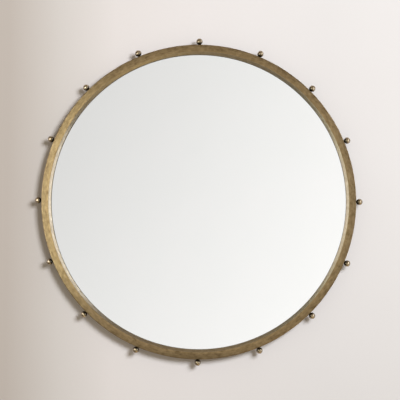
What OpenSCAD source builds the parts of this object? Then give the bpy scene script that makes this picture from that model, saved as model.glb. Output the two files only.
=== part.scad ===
// Round wall mirror: a flat brass ring over a disc of mirror glass, small balls
// standing out from the ring's edge, and hanging hardware on the backing board.
// Each piece is drawn lying face up on the wall plane, with x to the right, y up
// the wall and z out of the wall. on_wall() then stands it up, front towards -Y.

/* [Face ring] */
// Outer diameter of the ring
ring_od = 880; // [700:10:1000]
// Width of the ring's flat bar
ring_w = 27; // [25:0.5:40]
// Thickness of the ring's flat bar
ring_t = 8; // [7:0.25:10]
// Radius on the outer front edge
outer_ease = 2; // [0.5:0.25:2.5]
// Width of the bevel that slopes from the ring's face down to the glass
sight_bevel_w = 7; // [3:0.5:9]
// Drop of that bevel
sight_bevel_h = 5; // [2:0.25:6]

/* [Balls] */
// Number of balls round the ring
ball_count = 16; // [8:1:24]
// Diameter of a ball
ball_d = 18; // [14:0.5:24]
// Diameter of the seat ground on a ball where it meets the ring
ball_seat_d = 4; // [4:0.25:5]
// Diameter of the stud that holds a ball
stud_d = 3; // [2:0.25:3.5]
// Length of a stud inside its ball
stud_in_ball = 9; // [6:0.5:11]
// Length of a stud inside the ring
stud_in_ring = 10; // [6:0.5:14]

/* [Mirror glass] */
// How far the ring laps over the glass
glass_lap = 5; // [4:0.5:7]
// Thickness of the glass
glass_t = 4; // [3:1:6]
// Polished chamfer on the glass edges
glass_chamfer = 0.5; // [0.25:0.25:1]
// Thickness of the cushion tape between ring and glass
tape_t = 1; // [0.5:0.25:2]
// Distance of the tape from the sight edge of the ring
tape_inset = 1; // [0.5:0.25:1.5]
// Width of the cushion tape
tape_w = 2.5; // [1.5:0.25:2.5]

/* [Backing] */
// Thickness of the foam sheet behind the glass
foam_t = 1; // [1:0.5:3]
// How far the foam stops short of the glass edge
foam_inset = 8; // [2:1:20]
// Thickness of the backing board
board_t = 9; // [9:1:15]
// Height of the wall bumpers, which hold the board off the wall
stand_off = 10; // [9:0.5:16]

/* [Rear rim] */
// Gap left round the glass and the board
edge_gap = 1; // [0.5:0.25:2]
// Thickness of the rim strip
rim_t = 3; // [2:0.5:4]
// How far the rim stands behind the backing board
rim_past = 2; // [0.5:0.25:4]
// Chamfer on the rim's rear edges
rim_chamfer = 0.5; // [0.25:0.25:0.75]

/* [Retainers] */
// Number of lugs, clips and clip screws
lug_count = 8; // [6:1:12]
// Width of a lug across the rim
lug_w = 10; // [9:0.5:10]
// Length of a lug along the rim
lug_l = 16; // [14:1:24]
// Thickness of a retaining clip
clip_t = 1.5; // [1:0.25:2]
// Width of a retaining clip
clip_w = 12; // [10:0.5:14]
// How far a clip laps over the board
clip_lap = 12; // [8:0.5:16]
// Shank diameter of a clip screw
clip_screw_d = 4; // [3:0.5:4.5]
// Length of a clip screw under its head
clip_screw_l = 10; // [8:1:14]
// Head diameter of a clip screw
clip_head_d = 7.6; // [7:0.2:9]
// Head height of a clip screw
clip_head_h = 2.4; // [2:0.2:3.2]

/* [D ring hangers] */
// Distance of a hanger's pivot from the board's edge
hanger_inset = 90; // [60:5:140]
// Angle of a hanger above the horizontal centre line
hanger_angle = 37; // [20:1:50]
// Width of a hanger strap
strap_w = 20; // [16:0.5:24]
// Thickness of one layer of the folded strap
strap_t = 1.2; // [1:0.1:1.4]
// Diameter of the ring wire
wire_d = 4; // [3:0.25:4.5]
// Mean radius of the ring's lower corners
corner_r = 5; // [3.5:0.25:6]
// Straight length of the ring's sides
side_l = 4; // [2:0.5:8]
// How far the ring's straight bar stands out of the strap's curl at each end
bar_past = 0.5; // [0.25:0.25:1.5]
// Distance from the pivot to the first strap screw
first_screw = 12; // [11:0.5:13]
// Distance from the first strap screw to the second
screw_pitch = 28; // [26:1:36]

/* [Hanger screws] */
// Shank diameter of a hanger screw
wood_screw_d = 4; // [3:0.25:4.5]
// Length of a hanger screw under its head
wood_screw_l = 10; // [8:0.5:10]
// Head diameter of a hanger screw
wood_head_d = 8; // [7:0.2:9]
// Head height of a hanger screw
wood_head_h = 2.4; // [2:0.2:3.2]
// Bevel round the top of every screw head
head_bevel = 1.2; // [0.6:0.2:1.6]

/* [Wall bumpers] */
// Diameter of a bumper against the board
bumper_d = 18; // [14:1:24]
// Diameter of a bumper's face against the wall
bumper_face_d = 14; // [8:1:14]
// Chamfer round a bumper's face
bumper_edge = 1; // [0.5:0.25:1.5]
// Distance of a bumper's centre from the board's edge
bumper_inset = 34; // [30:1:60]
// Angle of a bumper from the vertical centre line
bumper_angle = 30; // [20:1:50]

/* [Clearances] */
// Radial clearance round studs and screws in their holes
screw_fit = 0.05; // [0.02:0.01:0.1]
// Radial clearance round the ring wire in the strap's curl
pivot_fit = 0.08; // [0.03:0.01:0.1]
// Gap between the outer end of a clip and the rim
clip_end_gap = 0.5; // [0.25:0.25:1]
// Depth left free past the end of a stud or screw
end_gap = 0.5; // [0.25:0.25:1]
// Gap left where a swinging ring comes to rest beside the board or strap
rest_gap = 0.3; // [0.2:0.05:0.6]
// Gap between the two layers of a folded strap
fold_gap = 0.1; // [0.05:0.05:0.2]

/* [Hidden] */
$fn = 120;
small_fn = 48;
brass = "#7f6d49";
dark_bronze = "#3d3229";
mirror_grey = "#e6e6e4";
board_brown = "#8a6a4a";
foam_white = "#e9e7e0";
tape_black = "#202020";
zinc = "#b9bcc0";
rubber_grey = "#3a3a3a";

// Radii, worked outwards from the sight edge
ring_r = ring_od / 2;
sight_r = ring_r - ring_w;
glass_r = sight_r + glass_lap;
lug_r = glass_r + edge_gap;
rim_in_r = lug_r + lug_w;
rim_r = rim_in_r + rim_t;

// Heights off the wall, worked forwards from the board's back
board_z = stand_off;
foam_z = board_z + board_t;
glass_z = foam_z + foam_t;
tape_z = glass_z + glass_t;
ring_z = tape_z + tape_t;
ball_z = ring_z + ring_t / 2;
rim_z = board_z - rim_past;

// Balls
ball_r = ball_d / 2;
ball_seat_r = ball_seat_d / 2;
ball_centre_r = ring_r + sqrt(ball_r * ball_r - ball_seat_r * ball_seat_r);

// Retainers
clip_hole_r = lug_r + lug_w / 2;

// Hangers. The curl lies against the board, so the pivot is one curl radius off it.
wire_r = wire_d / 2;
curl_bore_r = wire_r + pivot_fit;
curl_r = curl_bore_r + strap_t;
pivot_z = board_z - curl_r;
strap_thick = 2 * strap_t + fold_gap;
strap_face_z = board_z - strap_thick;
strap_l = first_screw + screw_pitch + strap_w / 2;
pivot_r = glass_r - hanger_inset;
pivot_x = pivot_r * cos(hanger_angle);
pivot_y = pivot_r * sin(hanger_angle);
bar_half = strap_w / 2 + bar_past;
ring_half = bar_half + corner_r;
bow_y = corner_r + side_l;
ring_reach = bow_y + ring_half;
// At rest the ring's bow leans back until it is one rest gap off the board
ring_lean = asin((curl_r - wire_r - rest_gap) / ring_reach);

bumper_r = glass_r - bumper_inset;
bumper_sides = [[-1, 1], [1, 1], [-1, -1], [1, -1]];

ball_names = [for (i = [1:ball_count]) str("ball_", i < 10 ? "0" : "", i)];

// Helpers

module on_wall() {
    rotate([90, 0, 0]) children();
}

// A disc or washer between two heights
module washer(outer, inner, z0, z1) {
    translate([0, 0, z0]) difference() {
        cylinder(r = outer, h = z1 - z0);
        translate([0, 0, -1]) cylinder(r = inner, h = z1 - z0 + 2);
    }
}

// Places children on the spoke of ball i, counted clockwise from the top
module at_ball(i) {
    rotate([0, 0, 90 - (i - 1) * 360 / ball_count]) children();
}

// Places children at every lug; the first is half a step above the centre line
module at_lugs() {
    for (i = [0:lug_count - 1]) {
        rotate([0, 0, (i + 0.5) * 360 / lug_count]) children();
    }
}

// Places children at a hanger's pivot, on the left (-1) or the right (1)
module at_pivot(side) {
    translate([side * pivot_x, pivot_y, pivot_z]) children();
}

module at_hanger_screws(side) {
    for (n = [0:1]) {
        translate([side * pivot_x, pivot_y - first_screw - n * screw_pitch, 0]) children();
    }
}

// A screw with its head's bearing face at z = 0 and its shank running forwards
module screw(d, len, head_d, head_h) {
    cylinder(d = d, h = len, $fn = small_fn);
    translate([0, 0, head_bevel - head_h])
        cylinder(d = head_d, h = head_h - head_bevel, $fn = small_fn);
    translate([0, 0, -head_h])
        cylinder(d1 = head_d - 2 * head_bevel, d2 = head_d, h = head_bevel, $fn = small_fn);
}

// Front ring

// The ring's flat bar: bevelled down to the glass, eased on its outer edge
module ring_section() {
    polygon([
        [sight_r, 0],
        [ring_r - outer_ease, 0],
        [ring_r - outer_ease, ring_t],
        [sight_r + sight_bevel_w, ring_t],
        [sight_r, ring_t - sight_bevel_h]
    ]);
    translate([ring_r - 2 * outer_ease, 0]) square([2 * outer_ease, ring_t - outer_ease]);
    translate([ring_r - outer_ease, ring_t - outer_ease]) circle(r = outer_ease);
}

module face_ring() {
    color(brass) on_wall() difference() {
        translate([0, 0, ring_z]) rotate_extrude() ring_section();
        for (i = [1:ball_count]) {
            at_ball(i) translate([ring_r - stud_in_ring - end_gap, 0, ball_z])
                rotate([0, 90, 0])
                cylinder(d = stud_d + 2 * screw_fit, h = ring_w, $fn = small_fn);
        }
    }
}

module ball(i) {
    color(dark_bronze) on_wall() at_ball(i) difference() {
        translate([ball_centre_r, 0, ball_z]) sphere(d = ball_d, $fn = small_fn);
        translate([0, 0, ball_z - ball_r]) cylinder(r = ring_r, h = ball_d);
        translate([ring_r - 1, 0, ball_z]) rotate([0, 90, 0])
            cylinder(d = stud_d + 2 * screw_fit, h = stud_in_ball + end_gap + 1, $fn = small_fn);
    }
}

module ball_studs() {
    color(zinc) on_wall() for (i = [1:ball_count]) {
        at_ball(i) translate([ring_r - stud_in_ring, 0, ball_z]) rotate([0, 90, 0])
            cylinder(d = stud_d, h = stud_in_ring + stud_in_ball, $fn = small_fn);
    }
}

// Rim, lugs, clips and their screws

module rear_rim() {
    color(brass) on_wall() rotate_extrude() polygon([
        [rim_in_r, rim_z + rim_chamfer],
        [rim_in_r + rim_chamfer, rim_z],
        [rim_r - rim_chamfer, rim_z],
        [rim_r, rim_z + rim_chamfer],
        [rim_r, ring_z],
        [rim_in_r, ring_z]
    ]);
}

module retainer_lugs() {
    color(brass) on_wall() at_lugs() difference() {
        intersection() {
            translate([lug_r, -lug_l / 2, board_z]) cube([lug_w + 1, lug_l, ring_z - board_z]);
            cylinder(r = rim_in_r, h = ring_z + 1);
        }
        translate([clip_hole_r, 0, board_z - 1])
            cylinder(d = clip_screw_d + 2 * screw_fit, h = clip_screw_l - clip_t + end_gap + 1,
                     $fn = small_fn);
    }
}

module retaining_clips() {
    clip_inner_r = glass_r - clip_lap + clip_w / 2;
    color(zinc) on_wall() at_lugs() translate([0, 0, board_z - clip_t]) difference() {
        intersection() {
            union() {
                translate([clip_inner_r, -clip_w / 2, 0])
                    cube([rim_in_r - clip_inner_r, clip_w, clip_t]);
                translate([clip_inner_r, 0, 0]) cylinder(d = clip_w, h = clip_t, $fn = small_fn);
            }
            translate([0, 0, -1]) cylinder(r = rim_in_r - clip_end_gap, h = clip_t + 2);
        }
        translate([clip_hole_r, 0, -1])
            cylinder(d = clip_screw_d + 2 * screw_fit, h = clip_t + 2, $fn = small_fn);
    }
}

module clip_screws() {
    color(zinc) on_wall() at_lugs() translate([clip_hole_r, 0, board_z - clip_t])
        screw(clip_screw_d, clip_screw_l, clip_head_d, clip_head_h);
}

// Glass and backing

module cushion_tape() {
    tape_r = sight_r + tape_inset;
    color(tape_black) on_wall() washer(tape_r + tape_w, tape_r, tape_z, ring_z);
}

module mirror_glass() {
    color(mirror_grey) on_wall() rotate_extrude() polygon([
        [0, glass_z],
        [glass_r - glass_chamfer, glass_z],
        [glass_r, glass_z + glass_chamfer],
        [glass_r, tape_z - glass_chamfer],
        [glass_r - glass_chamfer, tape_z],
        [0, tape_z]
    ]);
}

module foam_sheet() {
    color(foam_white) on_wall() translate([0, 0, foam_z])
        cylinder(r = glass_r - foam_inset, h = foam_t);
}

module backing_board() {
    hole_depth = wood_screw_l - strap_thick + end_gap;
    color(board_brown) on_wall() difference() {
        translate([0, 0, board_z]) cylinder(r = glass_r, h = board_t);
        for (side = [-1, 1]) {
            at_hanger_screws(side) translate([0, 0, board_z - 1])
                cylinder(d = wood_screw_d + 2 * screw_fit, h = hole_depth + 1, $fn = small_fn);
        }
    }
}

// Hangers: a strap folded round the ring's straight bar, and the ring that swings in it

module strap_section() {
    difference() {
        union() {
            circle(r = curl_r, $fn = small_fn);
            translate([-strap_l, curl_r - strap_t]) square([strap_l, strap_t]);
            translate([-strap_l, curl_r - strap_thick]) square([strap_l, strap_t]);
        }
        circle(r = curl_bore_r, $fn = small_fn);
    }
}

module strap_outline() {
    translate([-strap_w / 2, strap_w / 2 - strap_l]) square([strap_w, strap_l]);
    translate([0, strap_w / 2 - strap_l]) circle(d = strap_w, $fn = small_fn);
}

module hanger_strap(side) {
    color(zinc) on_wall() difference() {
        at_pivot(side) intersection() {
            rotate([90, 0, 90]) translate([0, 0, -strap_w / 2])
                linear_extrude(strap_w) strap_section();
            translate([0, 0, -curl_r - 1]) linear_extrude(2 * curl_r + 2) strap_outline();
        }
        at_hanger_screws(side) translate([0, 0, strap_face_z - 1])
            cylinder(d = wood_screw_d + 2 * screw_fit, h = strap_thick + 2, $fn = small_fn);
    }
}

module d_ring(side) {
    color(zinc) on_wall() at_pivot(side) rotate([ring_lean, 0, 0]) {
        rotate([0, 90, 0]) cylinder(r = wire_r, h = 2 * bar_half, center = true, $fn = small_fn);
        for (s = [-1, 1]) {
            translate([s * bar_half, corner_r, 0]) rotate([0, 0, s > 0 ? -90 : 180])
                wire_bend(corner_r, 90);
            translate([s * ring_half, corner_r, 0]) rotate([-90, 0, 0])
                cylinder(r = wire_r, h = side_l, $fn = small_fn);
        }
        translate([0, bow_y, 0]) wire_bend(ring_half, 180);
    }
}

module wire_bend(r, angle) {
    rotate_extrude(angle = angle) translate([r, 0]) circle(r = wire_r, $fn = small_fn);
}

module hanger_screws() {
    color(zinc) on_wall() for (side = [-1, 1]) {
        at_hanger_screws(side) translate([0, 0, strap_face_z])
            screw(wood_screw_d, wood_screw_l, wood_head_d, wood_head_h);
    }
}

module bumper(n) {
    x = bumper_sides[n][0] * bumper_r * sin(bumper_angle);
    y = bumper_sides[n][1] * bumper_r * cos(bumper_angle);
    color(rubber_grey) on_wall() translate([x, y, 0]) rotate_extrude($fn = small_fn) polygon([
        [0, 0],
        [bumper_face_d / 2, 0],
        [bumper_face_d / 2 + bumper_edge, bumper_edge],
        [bumper_d / 2, stand_off],
        [0, stand_off]
    ]);
}

face_ring();
rear_rim();
retainer_lugs();
cushion_tape();
mirror_glass();
foam_sheet();
backing_board();
retaining_clips();
clip_screws();
ball_studs();
hanger_strap(-1);  // hanger_strap_left
hanger_strap(1);  // hanger_strap_right
d_ring(-1);  // d_ring_left
d_ring(1);  // d_ring_right
hanger_screws();
bumper(0);  // bumper_upper_left
bumper(1);  // bumper_upper_right
bumper(2);  // bumper_lower_left
bumper(3);  // bumper_lower_right
for (i = [1:ball_count]) ball(i);
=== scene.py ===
import math

import bmesh
import bpy
from mathutils import Matrix, Quaternion, Vector, noise


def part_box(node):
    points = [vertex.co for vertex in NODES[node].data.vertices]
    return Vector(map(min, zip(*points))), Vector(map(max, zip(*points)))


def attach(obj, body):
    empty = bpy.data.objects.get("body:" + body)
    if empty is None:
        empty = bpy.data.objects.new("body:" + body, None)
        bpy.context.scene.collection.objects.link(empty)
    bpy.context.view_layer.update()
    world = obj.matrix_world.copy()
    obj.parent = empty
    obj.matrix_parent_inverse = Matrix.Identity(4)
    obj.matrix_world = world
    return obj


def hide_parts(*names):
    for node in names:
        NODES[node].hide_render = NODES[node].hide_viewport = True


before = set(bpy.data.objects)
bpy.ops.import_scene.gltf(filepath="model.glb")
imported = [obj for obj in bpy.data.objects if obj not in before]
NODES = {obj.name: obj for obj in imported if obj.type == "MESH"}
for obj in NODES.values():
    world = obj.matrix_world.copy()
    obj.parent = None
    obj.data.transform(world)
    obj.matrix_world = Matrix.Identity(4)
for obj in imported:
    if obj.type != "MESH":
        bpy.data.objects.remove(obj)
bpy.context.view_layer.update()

# Sizes that the boxes of the nodes don't give, in metres, as the CAD source has them
OUTER_EASE = 0.002
BEVEL_W = 0.007
BEVEL_H = 0.005
GLASS_CHAMFER = 0.0005
SHANK_D = 0.004
CLIP_HEAD_D = 0.0076
WOOD_HEAD_D = 0.008
HEAD_H = 0.0024

# The ring's hand finish: how far the bevel's edges are rubbed round, half the depth of the deepest dents in
# its front, in metres, and how closely the dents follow each other
SOFT_EDGE = 0.0004
DENT = 0.0001
DENT_FREQUENCY = 10.2

# How far the silvering stays off the foam sheet, so that they don't share a plane, in metres
SILVER_GAP = 0.00004

# Faces round a turned piece
RING_SEGMENTS = 720
PANE_SEGMENTS = 360
SCREW_SEGMENTS = 32

# Brazed beads: how many go round the rim, where the first starts in degrees, the points that one goes along
# and their step in radians, and the width and step of its drops in metres
BEADS = 24
BEAD_START = 3.0
BEAD_POINTS = 8
BEAD_POINT_STEP = 0.0055
DROP_W = 0.0034
DROP_STEP = 0.0012

# Places that the brass changes at, in metres. Its face is rubbed paler from the outer to the inner radius,
# and has painted shade along FOOT_Z and RIGHT_X, where less light falls. Its inner wall is inside
# INNER_WALL_R and has painted shade in the crevice along CREVICE_Y.
FACE_OUT_R = 0.438
FACE_IN_R = 0.420
FOOT_Z = (-0.413, -0.430)
RIGHT_X = (0.370, 0.425)
INNER_WALL_R = 0.4132
CREVICE_Y = (-0.0275, -0.0262)

# The balls' radius and the depth and radius that their middles are at, in metres
BALL_R = 0.009
BALL_Y = -0.029
BALL_RING_R = 0.4488

# The photograph's view of the mirror, in metres and degrees, with the lens and sensor in millimetres
AIM = Vector((0.0042, -0.030, 0.0031))
DISTANCE = 3.07
AZIMUTH = 0.6
ELEVATION = -2.5
ROLL = 0.33
LENS = 98.9
SENSOR = 36.0

# The wall and the floor that the mirror is shown against, in metres. Metal doesn't reflect the wall inside
# WALL_HIDDEN_R.
WALL_Y = 0.0005
WALL_HALF = 1.6
WALL_HIDDEN_R = 0.43
FLOOR_Z = -1.5
FLOOR_HALF = 6.0


# Node helpers

class Graph:
    """A node tree that is written as nested calls."""

    def __init__(self, tree):
        self.tree = tree
        tree.nodes.clear()

    def node(self, kind, inputs=None, **settings):
        made = self.tree.nodes.new("ShaderNode" + kind)
        for name, value in settings.items():
            setattr(made, name, value)
        for key, value in (inputs or {}).items():
            self.feed(made.inputs[key], value)
        return made

    def feed(self, socket, value):
        if isinstance(value, bpy.types.NodeSocket):
            self.tree.links.new(value, socket)
        else:
            socket.default_value = value

    def math(self, operation, a, b=0.0):
        return self.node("Math", {0: a, 1: b}, operation=operation).outputs[0]

    def plus(self, a, b):
        return self.math("ADD", a, b)

    def times(self, a, b):
        return self.math("MULTIPLY", a, b)

    def weigh(self, a, share, b):
        """A share of a, and of b the rest."""
        return self.plus(self.times(a, share), self.times(b, 1.0 - share))

    def stretch(self, vector, factors):
        return self.node("VectorMath", {0: vector, 1: factors}, operation="MULTIPLY").outputs[0]

    def split(self, vector):
        return self.node("SeparateXYZ", {0: vector}).outputs

    def join(self, x, y, z):
        return self.node("CombineXYZ", {0: x, 1: y, 2: z}).outputs[0]

    def noise(self, vector, scale, detail, roughness, distortion=0.0):
        made = self.node("TexNoise", {"Vector": vector, "Scale": scale, "Detail": detail,
                                      "Roughness": roughness, "Distortion": distortion})
        return made.outputs[0]

    def ramp(self, value, *stops):
        """A colour for each value. Each stop is a place and a colour."""
        made = self.node("ValToRGB", {0: value})
        steps = made.color_ramp.elements
        while len(steps) < len(stops):
            steps.new(0.5)
        for step, (place, colour) in zip(steps, stops):
            step.position = place
            step.color = (*colour, 1.0)
        return made.outputs[0]

    def span(self, value, low, high, to_low=0.0, to_high=1.0):
        made = self.node("MapRange", {0: value, 1: low, 2: high, 3: to_low, 4: to_high})
        return made.outputs[0]

    def mix(self, share, a, b, blend="MIX"):
        made = self.node("Mix", {0: share}, data_type="RGBA", blend_type=blend)
        for socket, value in ((made.inputs[6], a), (made.inputs[7], b)):
            self.feed(socket, (*value, 1.0) if isinstance(value, tuple) else value)
        return made.outputs[2]

    def shaded(self, colour, shade):
        """A colour times a number."""
        return self.mix(1.0, colour, self.join(shade, shade, shade), "MULTIPLY")

    def bump(self, height, depth, strength):
        made = self.node("Bump", {"Height": height, "Distance": depth, "Strength": strength})
        return made.outputs[0]


def material(name, paint, **values):
    """A Principled material. paint(graph) gives its linked sockets, and values are its plain ones."""
    made = bpy.data.materials.new(name)
    made.use_nodes = True
    g = Graph(made.node_tree)
    shader = g.node("BsdfPrincipled")
    for key, value in {**values, **paint(g)}.items():
        g.feed(shader.inputs[key.replace("_", " ")], value)
    g.node("OutputMaterial", {0: shader.outputs[0]})
    return made


def place_of(g):
    """A piece's own coordinates, which are the frame's at rest."""
    return g.node("TexCoord").outputs["Object"]


def from_axis(g, x, z):
    """The distance of a point from the mirror's axis."""
    return g.math("SQRT", g.plus(g.times(x, x), g.times(z, z)))


def round_the_ring(g, along, across):
    """Coordinates that run round the mirror: slow along its rings, quick from one ring to the next."""
    x, y, z = g.split(place_of(g))
    radius = from_axis(g, x, z)
    turn_x = g.times(g.math("DIVIDE", x, radius), along)
    turn_z = g.times(g.math("DIVIDE", z, radius), along)
    return g.join(turn_x, turn_z, g.times(g.math("SUBTRACT", radius, y), across))


def round_tangent(g):
    """The direction that brushing follows, round the mirror's axis."""
    return g.node("Tangent", direction_type="RADIAL", axis="Y").outputs[0]


# Materials

def brushed_brass(g):
    """Antique brass, brushed round the ring and darkened unevenly by hand, rubbed paler towards the bevel.
    Painted shade darkens it at the ring's foot and right, where less light falls, and in the crevice beside
    the glass."""
    fine = g.noise(round_the_ring(g, 60.0, 1500.0), 1.0, 3.0, 0.6)
    broad = g.noise(round_the_ring(g, 30.0, 260.0), 1.0, 3.0, 0.6)
    cloud = g.noise(place_of(g), 60.0, 5.0, 0.65, 0.4)
    speck = g.noise(place_of(g), 420.0, 3.0, 0.6)
    streak = g.weigh(fine, 0.4, broad)
    tone = g.weigh(streak, 0.6, cloud)
    colour = g.ramp(tone, (0.36, (0.205, 0.136, 0.064)), (0.46, (0.370, 0.256, 0.132)),
                    (0.54, (0.470, 0.335, 0.180)), (0.66, (0.600, 0.445, 0.255)))
    spots = g.span(speck, 0.60, 0.72, 0.0, 0.35)
    colour = g.mix(spots, colour, (0.150, 0.100, 0.054))
    x, y, z = g.split(place_of(g))
    radius = from_axis(g, x, z)
    rubbed = g.span(radius, FACE_OUT_R, FACE_IN_R, 0.86, 1.10)
    # Painted shade in the crevice: the ring's inner wall darkens towards the glass
    inner_wall = g.math("LESS_THAN", radius, INNER_WALL_R)
    painted_crevice_shade = g.times(g.span(y, *CREVICE_Y), inner_wall)
    # Painted shade: the face darkens at the ring's foot and at its right, where less light falls
    painted_falloff_shade = g.times(g.span(z, *FOOT_Z, 1.0, 0.77), g.span(x, *RIGHT_X, 1.0, 0.87))
    shade = g.times(g.times(rubbed, painted_falloff_shade), g.span(painted_crevice_shade, 0.0, 1.0, 1.0, 0.25))
    return {"Base Color": g.shaded(colour, shade), "Roughness": g.span(tone, 0.35, 0.65, 0.43, 0.32),
            "Normal": g.bump(streak, 0.00012, 0.35), "Tangent": round_tangent(g)}


def rubbed_bevel(g):
    """The same brass on the bevel beside the glass, where polishing rubbed the darkening off."""
    streak = g.noise(round_the_ring(g, 60.0, 900.0), 1.0, 3.0, 0.6)
    cloud = g.noise(place_of(g), 70.0, 5.0, 0.62, 0.4)
    tone = g.weigh(streak, 0.5, cloud)
    colour = g.ramp(tone, (0.36, (0.480, 0.375, 0.250)), (0.50, (0.640, 0.530, 0.370)),
                    (0.64, (0.740, 0.640, 0.475)))
    return {"Base Color": colour, "Roughness": g.span(tone, 0.35, 0.65, 0.38, 0.28),
            "Normal": g.bump(streak, 0.00008, 0.3), "Tangent": round_tangent(g)}


def rolled_brass(g):
    """The same brass as rolled strip, duller and less brushed, for what is behind the face ring."""
    streak = g.noise(round_the_ring(g, 14.0, 700.0), 1.0, 3.0, 0.6)
    cloud = g.noise(place_of(g), 26.0, 5.0, 0.62, 0.5)
    tone = g.weigh(streak, 0.4, cloud)
    colour = g.ramp(tone, (0.35, (0.150, 0.102, 0.056)), (0.50, (0.290, 0.205, 0.112)),
                    (0.66, (0.420, 0.315, 0.180)))
    return {"Base Color": colour, "Roughness": g.span(tone, 0.35, 0.65, 0.62, 0.42),
            "Normal": g.bump(streak, 0.0001, 0.4)}


def dark_bronze(g):
    """Balls of darkened bronze. Their front is painted paler, as a painted highlight, and the side towards
    the ring is painted near black, as painted shade and a painted reflection of the dark ring."""
    cloud = g.noise(place_of(g), 150.0, 4.0, 0.6, 0.6)
    fine = g.noise(place_of(g), 900.0, 3.0, 0.6)
    colour = g.ramp(cloud, (0.36, (0.270, 0.205, 0.130)), (0.52, (0.410, 0.325, 0.220)),
                    (0.68, (0.540, 0.450, 0.320)))
    x, y, z = g.split(place_of(g))
    # Painted highlight: the front of each ball is paler, and its sides and back are darker
    painted_front_highlight = g.span(y, BALL_Y - BALL_R * 0.3, BALL_Y - BALL_R, 0.55, 1.80)
    # Painted shade and painted reflection of the dark ring: the side of each ball towards the ring is near
    # black
    painted_crevice_shade = g.span(from_axis(g, x, z), BALL_RING_R - BALL_R * 0.62, BALL_RING_R, 0.06, 1.0)
    return {"Base Color": g.shaded(colour, g.times(painted_front_highlight, painted_crevice_shade)),
            "Roughness": g.span(cloud, 0.35, 0.65, 0.17, 0.12), "Normal": g.bump(fine, 0.00004, 0.4)}


def clear_glass(g):
    """Float glass, whose faint green tint varies a little."""
    tint = g.noise(place_of(g), 9.0, 3.0, 0.5)
    return {"Base Color": g.mix(tint, (0.965, 0.985, 0.975), (0.985, 0.992, 0.988))}


def silver_coat(g):
    """The silvering on the back of the glass, seen through it."""
    ripple = g.noise(place_of(g), 5.0, 2.0, 0.5)
    return {"Base Color": g.mix(ripple, (0.955, 0.960, 0.955), (0.972, 0.975, 0.970))}


def ground_edge(g):
    """The seamed green edge of the glass."""
    grain = g.noise(place_of(g), 2400.0, 3.0, 0.6)
    return {"Base Color": g.ramp(grain, (0.3, (0.27, 0.42, 0.36)), (0.7, (0.45, 0.60, 0.53))),
            "Normal": g.bump(grain, 0.00005, 0.5)}


def fibre_board(g):
    """Medium-density fibreboard: smooth sanded faces with short fibres, and a coarser, darker edge."""
    place = place_of(g)
    fibres = g.noise(g.stretch(place, (1400.0, 500.0, 520.0)), 1.0, 4.0, 0.65, 0.8)
    cloud = g.noise(place, 9.0, 4.0, 0.6)
    grain = g.noise(place, 1100.0, 3.0, 0.7)
    tone = g.weigh(fibres, 0.8, cloud)
    face = g.ramp(tone, (0.36, (0.345, 0.225, 0.128)), (0.50, (0.440, 0.305, 0.182)),
                  (0.64, (0.530, 0.385, 0.245)))
    edge = g.ramp(grain, (0.35, (0.230, 0.145, 0.080)), (0.65, (0.420, 0.285, 0.170)))
    facing = g.math("ABSOLUTE", g.split(g.node("NewGeometry").outputs["Normal"])[1])
    colour = g.mix(g.span(facing, 0.3, 0.8), edge, face)
    return {"Base Color": colour, "Roughness": g.span(tone, 0.35, 0.65, 0.86, 0.74),
            "Normal": g.bump(g.plus(fibres, grain), 0.00015, 0.5)}


def white_foam(g):
    """Closed-cell foam sheet."""
    cells = g.node("TexVoronoi", {"Vector": place_of(g), "Scale": 900.0}).outputs[0]
    return {"Base Color": g.ramp(cells, (0.0, (0.74, 0.73, 0.70)), (0.8, (0.86, 0.85, 0.83))),
            "Normal": g.bump(cells, 0.0002, 0.5)}


def black_tape(g):
    """Foam tape with a dull black skin."""
    cells = g.noise(place_of(g), 1600.0, 3.0, 0.6)
    return {"Base Color": g.ramp(cells, (0.35, (0.018, 0.018, 0.019)), (0.65, (0.040, 0.040, 0.041))),
            "Normal": g.bump(cells, 0.0001, 0.6)}


def zinc_steel(g):
    """Zinc-plated steel: pale grey, with faint blue and yellow in the passivation and small scuffs."""
    place = place_of(g)
    cloud = g.noise(place, 70.0, 4.0, 0.6, 0.5)
    scuff = g.noise(g.stretch(place, (260.0, 900.0, 2400.0)), 1.0, 3.0, 0.7)
    colour = g.ramp(cloud, (0.34, (0.49, 0.50, 0.52)), (0.50, (0.57, 0.57, 0.57)),
                    (0.68, (0.64, 0.62, 0.57)))
    colour = g.mix(g.span(scuff, 0.60, 0.72, 0.0, 0.4), colour, (0.30, 0.30, 0.31))
    return {"Base Color": colour, "Roughness": g.span(scuff, 0.35, 0.65, 0.26, 0.44),
            "Normal": g.bump(scuff, 0.00005, 0.4)}


def grey_rubber(g):
    """Soft moulded bumpers with a satin, slightly dusty skin."""
    dust = g.noise(place_of(g), 60.0, 4.0, 0.6)
    skin = g.noise(place_of(g), 1800.0, 2.0, 0.6)
    return {"Base Color": g.ramp(dust, (0.35, (0.105, 0.106, 0.108)), (0.65, (0.185, 0.185, 0.184))),
            "Roughness": g.span(dust, 0.35, 0.65, 0.55, 0.78),
            "Normal": g.bump(skin, 0.00006, 0.5)}


def weld_bead(g):
    """Brazing that was wire-brushed but not ground, darker than the strip."""
    cloud = g.noise(place_of(g), 180.0, 4.0, 0.65, 0.6)
    fine = g.noise(place_of(g), 1400.0, 3.0, 0.6)
    colour = g.ramp(cloud, (0.34, (0.120, 0.082, 0.048)), (0.52, (0.270, 0.195, 0.110)),
                    (0.68, (0.470, 0.365, 0.215)))
    return {"Base Color": colour, "Roughness": g.span(fine, 0.35, 0.65, 0.36, 0.58),
            "Normal": g.bump(fine, 0.00012, 0.5)}


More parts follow.
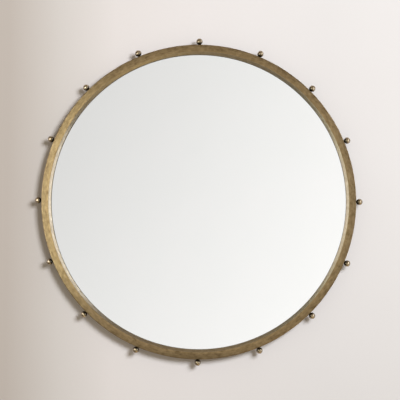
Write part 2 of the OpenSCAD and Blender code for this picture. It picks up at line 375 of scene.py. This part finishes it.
BRASS = material("brushed_antique_brass", brushed_brass, Metallic=1.0, Anisotropic=0.75,
                 Anisotropic_Rotation=0.25, Coat_Weight=0.25, Coat_Roughness=0.35)
BEVEL = material("rubbed_bevel_brass", rubbed_bevel, Metallic=1.0, Anisotropic=0.4,
                 Anisotropic_Rotation=0.25, Coat_Weight=0.8, Coat_Roughness=0.3)
STRIP = material("rolled_antique_brass", rolled_brass, Metallic=1.0)
BRONZE = material("dark_polished_bronze", dark_bronze, Metallic=1.0, Coat_Weight=0.3,
                  Coat_Roughness=0.12)
GLASS = material("clear_float_glass", clear_glass, Roughness=0.0, IOR=1.52, Transmission_Weight=1.0,
                 Specular_IOR_Level=0.0)
SILVER = material("mirror_silvering", silver_coat, Metallic=1.0, Roughness=0.0)
GLASS_EDGE = material("ground_glass_edge", ground_edge, Roughness=0.45, IOR=1.52)
BOARD = material("sanded_fibre_board", fibre_board)
FOAM = material("closed_cell_foam", white_foam, Roughness=0.85)
TAPE = material("black_foam_tape", black_tape, Roughness=0.8)
ZINC = material("zinc_plated_steel", zinc_steel, Metallic=1.0)
RUBBER = material("grey_bumper_rubber", grey_rubber)
BRAZE = material("brazed_bead", weld_bead, Metallic=1.0)


# Mesh helpers

def finish_mesh(name, bm, materials, sharp=35.0):
    """Turns bm into a piece that rides on the mirror. Edges over sharp degrees stay sharp."""
    bmesh.ops.recalc_face_normals(bm, faces=bm.faces)
    mesh = bpy.data.meshes.new(name)
    bm.to_mesh(mesh)
    bm.free()
    for m in materials:
        mesh.materials.append(m)
    mesh.shade_smooth()
    mesh.set_sharp_from_angle(angle=math.radians(sharp))
    piece = bpy.data.objects.new(name, mesh)
    bpy.context.scene.collection.objects.link(piece)
    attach(piece, "mirror")
    return piece


def lathe(bm, profile, segments, materials=None, closed=True):
    """Turns a profile of (radius, y) round the Y axis. A point at radius 0 becomes one vertex.
    materials gives the material of each stretch of the profile."""
    turns = [2 * math.pi * k / segments for k in range(segments)]
    loops = []
    for radius, y in profile:
        if radius == 0:
            loops.append([bm.verts.new((0.0, y, 0.0))] * segments)
        else:
            loops.append([bm.verts.new((radius * math.cos(t), y, radius * math.sin(t))) for t in turns])
    pairs = list(zip(loops, loops[1:]))
    if closed:
        pairs.append((loops[-1], loops[0]))
    for i, (a, b) in enumerate(pairs):
        for k in range(segments):
            j = (k + 1) % segments
            corners = list(dict.fromkeys((a[k], a[j], b[j], b[k])))
            if len(corners) < 3:
                continue
            face = bm.faces.new(corners)
            face.material_index = materials[i] if materials else 0


def arc(centre, radius, start, end, steps):
    """Points of (radius, y) on an arc, with its angles in degrees."""
    turns = [math.radians(start + (end - start) * k / steps) for k in range(steps + 1)]
    return [(centre[0] + radius * math.cos(t), centre[1] + radius * math.sin(t)) for t in turns]


def radii(node):
    """Smallest and largest distance of a node's vertices from the mirror's axis."""
    found = [math.hypot(v.co.x, v.co.z) for v in NODES[node].data.vertices]
    return min(found), max(found)


# The face ring: a flat bar rolled into a ring, with its hand-finished unevenness

def face_ring():
    """The profile goes round the bar from its back: outer edge, flat front and bevel."""
    low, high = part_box("face_ring")
    inner, outer = radii("face_ring")
    front, back = low.y, high.y
    flat_in, flat_out = inner + BEVEL_W, outer - OUTER_EASE
    foot = front + BEVEL_H
    profile = [(inner, back), (outer, back)]
    profile += arc((flat_out, front + OUTER_EASE), OUTER_EASE, 0, -90, 6)
    profile += [(flat_out + (flat_in - flat_out) * k / 8, front) for k in range(1, 8)]
    profile += [(flat_in + SOFT_EDGE, front), (flat_in, front + SOFT_EDGE * 0.1)]
    profile += [(flat_in - SOFT_EDGE, front + SOFT_EDGE * BEVEL_H / BEVEL_W)]
    profile += [(inner + BEVEL_W * 0.5, front + BEVEL_H * 0.5)]
    profile += [(inner + SOFT_EDGE * 0.8, foot - SOFT_EDGE * 0.35), (inner, foot + SOFT_EDGE * 0.5)]
    slopes = 4
    finishes = [0] * (len(profile) - slopes - 1) + [1] * slopes + [0]
    bm = bmesh.new()
    lathe(bm, profile, RING_SEGMENTS, materials=finishes)
    for v in bm.verts:
        if v.co.y < foot:
            radial = Vector((v.co.x, 0, v.co.z)).normalized()
            v.co.y += DENT * (1 + noise.noise(radial * DENT_FREQUENCY))
    piece = finish_mesh("face_ring_bar", bm, [BRASS, BEVEL])
    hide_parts("face_ring")


# The mirror pane: clear glass with chamfered edges and silvering on its back

def mirror_pane():
    low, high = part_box("mirror_glass")
    outer = radii("mirror_glass")[1]
    front, back = low.y, high.y - SILVER_GAP
    edge = outer - GLASS_CHAMFER
    profile = [(0, front), (edge, front), (outer, front + GLASS_CHAMFER)]
    profile += [(outer, back - GLASS_CHAMFER), (edge, back), (0, back)]
    bm = bmesh.new()
    lathe(bm, profile, PANE_SEGMENTS, materials=[0, 1, 1, 1, 2], closed=False)
    piece = finish_mesh("silvered_pane", bm, [GLASS, GLASS_EDGE, SILVER],
                        sharp=20)
    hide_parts("mirror_glass")


# Pan head screws with cross recesses and turned threads

def cross_cutter(head_d):
    """A cross that is cut into a screw head. It stands at the origin, and its arms get shorter and thinner
    from its top, which is above the head, down to its depth."""
    arm, web = head_d * 0.27, head_d * 0.062
    above, depth = 0.001, 0.0014
    ends = ((above, arm * (1.0 + 0.3 * above / depth), web), (-depth, arm * 0.45, web * 0.75))
    bm = bmesh.new()
    for across in (False, True):
        corners = []
        for y, long_half, thin_half in ends:
            half_x, half_z = (thin_half, long_half) if across else (long_half, thin_half)
            for side_x, side_z in ((-1, -1), (1, -1), (1, 1), (-1, 1)):
                corners.append(bm.verts.new((side_x * half_x, y, side_z * half_z)))
        bm.faces.new(corners[:4])
        bm.faces.new(corners[4:])
        for k in range(4):
            j = (k + 1) % 4
            bm.faces.new((corners[k], corners[j], corners[4 + j], corners[4 + k]))
    bmesh.ops.recalc_face_normals(bm, faces=bm.faces)
    mesh = bpy.data.meshes.new("cutter")
    bm.to_mesh(mesh)
    bm.free()
    return mesh


def screw_mesh(head_d, length):
    """One screw with its head above y 0 and its shank below. Rings round the shank stand for its thread."""
    rim, crest = head_d / 2, SHANK_D / 2
    crown, shoulder, shoulder_y, foot = 0.00045, 0.0009, HEAD_H - 0.0012, 0.0003
    core, pitch = crest * 0.80, SHANK_D * 0.175
    plain, tip, unthreaded = 0.0006, 0.0005, 0.0015
    profile = [(0, HEAD_H)]
    for degrees in (20, 40, 60):
        turn = math.radians(degrees)
        profile.append((rim * math.sin(turn) * 0.86, HEAD_H - crown * (1 - math.cos(turn))))
    profile += arc((rim - shoulder, shoulder_y), shoulder, 70, 0, 6)
    profile += [(rim, foot), (rim - foot, 0), (crest, 0)]
    for k in range(int((length - unthreaded) / pitch)):
        y = -plain - k * pitch
        profile += [(core, y), (crest, y - pitch * 0.4), (crest, y - pitch * 0.6)]
    profile += [(core, -length + tip), (core * 0.5, -length), (0, -length)]
    bm = bmesh.new()
    lathe(bm, profile, SCREW_SEGMENTS, closed=False)
    bmesh.ops.recalc_face_normals(bm, faces=bm.faces)
    mesh = bpy.data.meshes.new("screw")
    bm.to_mesh(mesh)
    bm.free()
    screw = bpy.data.objects.new("screw_blank", mesh)
    cutter = bpy.data.objects.new("screw_cutter", cross_cutter(head_d))
    for made in (screw, cutter):
        bpy.context.scene.collection.objects.link(made)
    cutter.location.y = HEAD_H
    cut = screw.modifiers.new("recess", "BOOLEAN")
    cut.object = cutter
    cut.solver = "MANIFOLD"
    bpy.context.view_layer.update()
    evaluated = screw.evaluated_get(bpy.context.evaluated_depsgraph_get())
    done = bpy.data.meshes.new_from_object(evaluated)
    for made in (screw, cutter):
        bpy.data.objects.remove(made)
    return done


def screws(name, node, head_d):
    """The screws of a node, each turned its own way: their heads end at the node's rear and their tips at
    its front."""
    low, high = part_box(node)
    seat = high.y - HEAD_H
    blank = screw_mesh(head_d, seat - low.y)
    bm = bmesh.new()
    for k, (x, z) in enumerate(solid_places(node)):
        before = len(bm.verts)
        bm.from_mesh(blank)
        bm.verts.ensure_lookup_table()
        place = Matrix.Translation((x, seat, z)) @ Matrix.Rotation(math.radians(37 * k + 11), 4, "Y")
        bmesh.ops.transform(bm, matrix=place, verts=bm.verts[before:])
    piece = finish_mesh(name, bm, [ZINC], sharp=30)
    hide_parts(node)


def solid_places(node):
    """The middle (x, z) of each separate solid in a node. Islands of the mesh that share a middle are one
    solid."""
    bm = bmesh.new()
    bm.from_mesh(NODES[node].data)
    left, found = set(bm.verts), []
    while left:
        stack, island = [left.pop()], []
        while stack:
            v = stack.pop()
            island.append(v)
            for e in v.link_edges:
                w = e.other_vert(v)
                if w in left:
                    left.remove(w)
                    stack.append(w)
        xs, zs = [v.co.x for v in island], [v.co.z for v in island]
        found.append(((min(xs) + max(xs)) / 2, (min(zs) + max(zs)) / 2))
    bm.free()
    same, middles = 0.002, []
    for p in sorted(found):
        if all(math.dist(p, q) >= same for q in middles):
            middles.append(p)
    return middles


# Brazed beads where the rim meets the face ring

def bead_row(bm, points):
    """A row of overlapping, flattened and uneven drops along points."""
    uneven, close, flat = 0.14, 900, 0.85
    for a, b in zip(points, points[1:]):
        count = max(1, int((b - a).length / DROP_STEP))
        for k in range(count):
            centre = a.lerp(b, k / count)
            size = DROP_W * (1 + uneven * noise.noise(centre * close))
            matrix = Matrix.Translation(centre) @ Matrix.Diagonal((size, size * flat, size, 1))
            bmesh.ops.create_icosphere(bm, subdivisions=2, radius=0.5, matrix=matrix)


def rim_beads():
    rim_out = radii("rear_rim")[1]
    joint_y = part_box("rear_rim")[0].y
    bm = bmesh.new()
    for k in range(BEADS):
        start = math.radians(360 / BEADS * k + BEAD_START)
        turns = [start + s * BEAD_POINT_STEP for s in range(BEAD_POINTS)]
        bead_row(bm, [Vector((rim_out * math.cos(t), joint_y, rim_out * math.sin(t))) for t in turns])
    finish_mesh("rim_braze_beads", bm, [BRAZE], sharp=60)


# Carried-over nodes get their materials, by the start of their names. The replaced nodes aren't here.

FINISHES = (
    ("rear_rim", STRIP), ("retainer_lugs", STRIP), ("cushion_tape", TAPE), ("foam_sheet", FOAM),
    ("backing_board", BOARD), ("retaining_clips", ZINC), ("ball_studs", ZINC), ("ball_", BRONZE),
    ("hanger_strap_", ZINC), ("d_ring_", ZINC), ("bumper_", RUBBER),
)


def dress_nodes():
    for name, node in NODES.items():
        finish = next((paint for start, paint in FINISHES if name.startswith(start)), None)
        if finish is not None:
            node.data.materials.clear()
            node.data.materials.append(finish)


# Wall, floor, world and lamps

def plane(name, corners, paint):
    mesh = bpy.data.meshes.new(name)
    mesh.from_pydata([Vector(c) for c in corners], [], [(0, 1, 2, 3)])
    mesh.materials.append(paint)
    made = bpy.data.objects.new(name, mesh)
    bpy.context.scene.collection.objects.link(made)
    return made


def wall_paint():
    """Warm white paint that shows from its front only. It is darker to the left, where the light falls off.
    Behind the mirror the hangers reflect the room beyond it, so that a view from behind shows their metal."""
    made = bpy.data.materials.new("wall_paint")
    made.use_nodes = True
    g = Graph(made.node_tree)
    x, y, z = g.split(place_of(g))
    roller = g.noise(place_of(g), 160.0, 4.0, 0.6)
    cloud = g.noise(place_of(g), 2.2, 3.0, 0.5)
    paint = g.ramp(g.weigh(roller, 0.3, cloud), (0.3, (0.835, 0.807, 0.777)), (0.7, (0.860, 0.835, 0.809)))
    light = g.ramp(g.span(x, -0.6, 0.6), (0.05, (0.73, 0.69, 0.64)), (0.17, (0.88, 0.87, 0.84)),
                   (0.30, (1.0, 0.99, 0.98)), (0.50, (0.99, 0.99, 0.99)), (0.80, (0.92, 0.93, 0.93)))
    colour = g.mix(1.0, paint, light, "MULTIPLY")
    front = g.node("BsdfDiffuse", {0: colour}).outputs[0]
    clear = g.node("BsdfTransparent").outputs[0]
    behind = g.node("NewGeometry").outputs["Backfacing"]
    covered = g.math("LESS_THAN", from_axis(g, x, z), WALL_HIDDEN_R)
    hidden = g.times(covered, g.node("LightPath").outputs["Is Glossy Ray"])
    open_share = g.math("MAXIMUM", behind, hidden)
    shader = g.node("MixShader", {0: open_share, 1: front, 2: clear}).outputs[0]
    g.node("OutputMaterial", {0: shader})
    return made


def floor_paint():
    """A pale floor: the camera sees it partly by its own colour, so that it stays pale away from the lamp."""
    def paint(g):
        cloud = g.noise(place_of(g), 1.5, 4.0, 0.6)
        seen = g.node("LightPath").outputs["Is Camera Ray"]
        return {"Base Color": g.ramp(cloud, (0.3, (0.33, 0.32, 0.31)), (0.7, (0.35, 0.34, 0.33))),
                "Emission Strength": g.times(seen, 0.5)}
    return material("floor_paint", paint, Roughness=0.7, Emission_Color=(0.90, 0.88, 0.85, 1.0))


def stage():
    """The camera sees both, metal reflects the wall only, and neither lights or shades anything."""
    w, f = WALL_HALF, FLOOR_HALF
    wall_corners = [(-w, WALL_Y, FLOOR_Z), (w, WALL_Y, FLOOR_Z), (w, WALL_Y, w), (-w, WALL_Y, w)]
    floor_corners = [(-f, -f, FLOOR_Z), (f, -f, FLOOR_Z), (f, f, FLOOR_Z), (-f, f, FLOOR_Z)]
    wall = plane("wall", wall_corners, wall_paint())
    floor = plane("floor", floor_corners, floor_paint())
    floor.visible_glossy = False
    for made in (wall, floor):
        made.visible_diffuse = False
        made.visible_transmission = False
        made.visible_shadow = False


def studio_world():
    """Pale to the camera and in the mirror, and even for matt surfaces. Metal shows a dim room with a paler
    front, floor and ceiling, and a pale room behind the wall, which only the back of the mirror faces. The
    floor is palest at the right. The room that the glass shows darkens to the upper left."""
    world = bpy.data.worlds.new("studio")
    bpy.context.scene.world = world
    world.use_nodes = True
    g = Graph(world.node_tree)
    x, y, z = g.split(g.node("TexCoord").outputs["Generated"])
    kind = g.node("LightPath").outputs
    front = g.times(y, -1.0)
    metal = g.mix(g.span(front, 0.60, 0.95), (0.090, 0.084, 0.074), (0.590, 0.565, 0.500))
    metal = g.mix(g.span(g.math("ABSOLUTE", z), 0.70, 0.95), metal, (0.280, 0.220, 0.145))
    lit_floor = g.times(g.span(x, -0.05, 0.42), g.span(z, -0.50, -0.80))
    metal = g.mix(lit_floor, metal, (0.590, 0.465, 0.245))
    beyond = g.ramp(g.span(z, -0.6, 0.8), (0.0, (0.30, 0.29, 0.27)), (0.5, (0.52, 0.51, 0.49)),
                    (1.0, (0.86, 0.86, 0.86)))
    metal = g.mix(g.span(front, -0.05, -0.20), metal, beyond)
    slope = g.plus(g.times(x, 0.95), g.times(g.math("SUBTRACT", z, 0.032), -0.48))
    room = g.math("MINIMUM", g.math("MAXIMUM", g.plus(slope, 0.93), 0.70), 1.08)
    glass = g.shaded((0.996, 0.977, 0.972), room)
    colour = g.mix(kind["Is Camera Ray"], (0.352, 0.310, 0.257), (0.92, 0.90, 0.88))
    colour = g.mix(kind["Is Glossy Ray"], colour, metal)
    colour = g.mix(kind["Is Transmission Ray"], colour, glass)
    g.node("OutputWorld", {0: g.node("Background", {0: colour, 1: 1.0}).outputs[0]})
    world.cycles.sampling_method = "NONE"


def outward(azimuth, elevation):
    """The direction from the mirror that has these angles, in degrees."""
    a, e = math.radians(azimuth), math.radians(elevation)
    return Vector((math.sin(a) * math.cos(e), -math.cos(a) * math.cos(e), math.sin(e)))


def lamp(name, azimuth, elevation, distance, size, power, colour, diffuse=True, glossy=True):
    """A soft rectangular lamp that points at the mirror's middle and doesn't show in it. Its angles are in
    degrees, with azimuth 0 in front and positive to the right."""
    data = bpy.data.lights.new(name, "AREA")
    data.shape = "RECTANGLE"
    data.size, data.size_y = size
    data.energy = power
    data.color = colour
    made = bpy.data.objects.new(name, data)
    bpy.context.scene.collection.objects.link(made)
    out = outward(azimuth, elevation)
    made.location = out * distance
    made.rotation_mode = "QUATERNION"
    made.rotation_quaternion = out.to_track_quat("Z", "Y")
    made.visible_diffuse = diffuse
    made.visible_glossy = glossy
    made.visible_transmission = False


def lamps():
    """The key lamp and the rear fill light matt surfaces only. The panel and the windows show in metal
    only."""
    lamp("key_softbox", 27.5, 16.5, 4.0, (1.3, 1.3), 135, (0.915, 0.932, 1.0), glossy=False)
    lamp("front_left_panel", -32.6, 4, 1.4, (0.3, 1.2), 3.4, (0.94, 1.0, 0.84), diffuse=False)
    lamp("left_window", -65, 5, 1.05, (0.5, 0.8), 1.85, (0.96, 0.94, 1.0), diffuse=False)
    lamp("right_window", 60, 10, 2.2, (0.5, 2.6), 15.0, (0.90, 0.94, 1.0), diffuse=False)
    lamp("rear_fill", 160, 25, 2.6, (1.8, 1.8), 45, (1.0, 0.98, 0.95), glossy=False)


def camera():
    data = bpy.data.cameras.new("photo_camera")
    data.lens = LENS
    data.sensor_width = SENSOR
    data.clip_start = 0.05
    data.clip_end = 100.0
    made = bpy.data.objects.new("photo_camera", data)
    bpy.context.scene.collection.objects.link(made)
    back = outward(AZIMUTH, ELEVATION)
    made.location = AIM + back * DISTANCE
    made.rotation_mode = "QUATERNION"
    made.rotation_quaternion = back.to_track_quat("Z", "Y") @ Quaternion((0, 0, 1), math.radians(ROLL))
    bpy.context.scene.camera = made


face_ring()
mirror_pane()
screws("pan_head_clip_screws", "clip_screws", CLIP_HEAD_D)
screws("pan_head_hanger_screws", "hanger_screws", WOOD_HEAD_D)
rim_beads()
dress_nodes()
stage()
studio_world()
lamps()
camera()
bpy.context.scene.view_settings.view_transform = "Standard"
